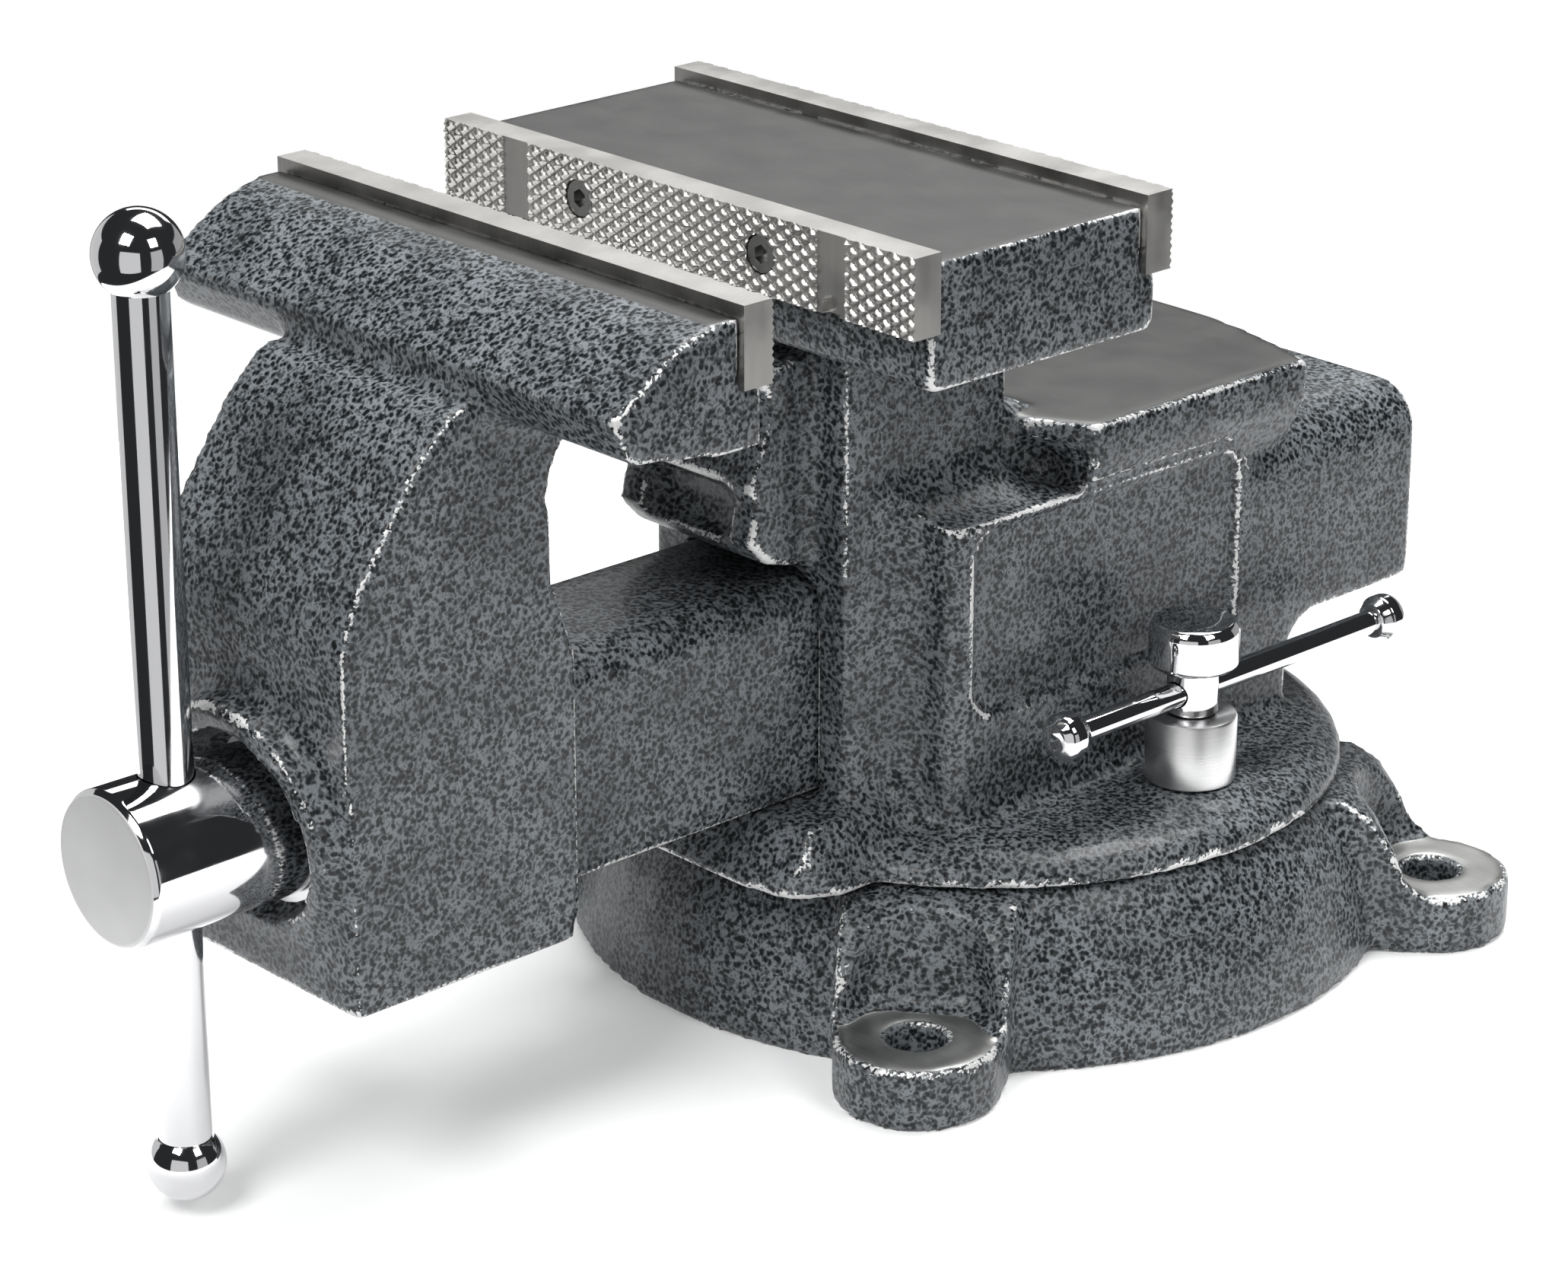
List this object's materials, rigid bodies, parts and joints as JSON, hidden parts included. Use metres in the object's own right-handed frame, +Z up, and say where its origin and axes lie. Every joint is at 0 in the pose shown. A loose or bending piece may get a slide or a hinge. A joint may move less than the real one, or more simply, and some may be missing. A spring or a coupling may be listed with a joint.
{
  "type": "bench vise",
  "caption": "Cast bench vise on a swivel base, with a sliding jaw driven by a screw and tommy bar, serrated jaw plates, a rear anvil pad and clamp bolts that lock the swivel.",
  "frame": {"origin": "on the swivel axis, at the bench's surface under the base", "axes": "+Z up, -Y towards the operator and the screw's handle, jaws open along Y"},
  "size_m": [0.2286, 0.3878, 0.2381],
  "materials": {
    "hammered_paint": "dark hammered enamel on cast iron, gloss",
    "ground_steel": "ground and serrated",
    "black_steel": "black oxide",
    "chrome": "polished plate",
    "bright_steel": "turned",
    "bronze": "cast and bored"
  },
  "bodies": {
    "base": {"swivel_base": "hammered_paint", "pivot_bolt": "black_steel", "pivot_washer": "bright_steel"},
    "vise_body": {"body_casting": "hammered_paint", "front_jaw_plate": "ground_steel", "front_jaw_screw_left": "black_steel", "front_jaw_screw_right": "black_steel", "rear_jaw_plate": "ground_steel", "rear_jaw_screw_left": "black_steel", "rear_jaw_screw_right": "black_steel", "main_nut": "bronze", "nut_screw_front": "black_steel", "nut_screw_rear": "black_steel"},
    "moving_jaw": {"moving_jaw_casting": "hammered_paint", "moving_jaw_plate": "ground_steel", "moving_jaw_screw_left": "black_steel", "moving_jaw_screw_right": "black_steel", "thrust_washer": "bright_steel"},
    "screw_assembly": {"main_screw": "chrome", "retaining_collar": "bright_steel", "collar_pin": "bright_steel"},
    "handle": {"handle_bar": "chrome", "handle_upper_ball": "chrome", "handle_lower_ball": "chrome"},
    "lock_right": {"lock_bolt_right": "chrome", "lock_sleeve_right": "bright_steel"},
    "lock_handle_right": {"lock_bar_right": "chrome", "lock_bar_right_front_knob": "chrome", "lock_bar_right_rear_knob": "chrome"},
    "lock_left": {"lock_bolt_left": "chrome", "lock_sleeve_left": "bright_steel"},
    "lock_handle_left": {"lock_bar_left": "chrome", "lock_bar_left_front_knob": "chrome", "lock_bar_left_rear_knob": "chrome"}
  },
  "joints": [
    {"name": "body_swivel", "type": "hinge", "parent": "base", "child": "vise_body", "pos_m": [0, 0, 0.043], "axis": [0, 0, 1], "continuous": true},
    {"name": "jaw_slide", "type": "slide", "parent": "vise_body", "child": "moving_jaw", "axis": [0, 1, 0], "range_m": [-0.1105, 0.0414]},
    {"name": "screw_turn", "type": "hinge", "parent": "moving_jaw", "child": "screw_assembly", "pos_m": [0, -0.256, 0.09], "axis": [0, 1, 0], "range_deg": [-7830, 2930]},
    {"name": "handle_slide", "type": "slide", "parent": "screw_assembly", "child": "handle", "axis": [0, 0, 1], "range_m": [-0.108, 0.049]},
    {"name": "lock_turn_right", "type": "hinge", "parent": "vise_body", "child": "lock_right", "pos_m": [0.07003, 0.0049, 0.054], "axis": [0, 0, -1], "range_deg": [-8, 12]},
    {"name": "lock_handle_slide_right", "type": "slide", "parent": "lock_right", "child": "lock_handle_right", "axis": [0, 1, 0], "range_m": [-0.052, 0.025]},
    {"name": "lock_turn_left", "type": "hinge", "parent": "vise_body", "child": "lock_left", "pos_m": [-0.07003, 0.0049, 0.054], "axis": [0, 0, 1], "range_deg": [-8, 12]},
    {"name": "lock_handle_slide_left", "type": "slide", "parent": "lock_left", "child": "lock_handle_left", "axis": [0, 1, 0], "range_m": [-0.052, 0.025]}
  ],
  "couplings": [
    {"joint": "jaw_slide", "follows": "screw_turn", "m_per_rad": 0.00080851}
  ]
}
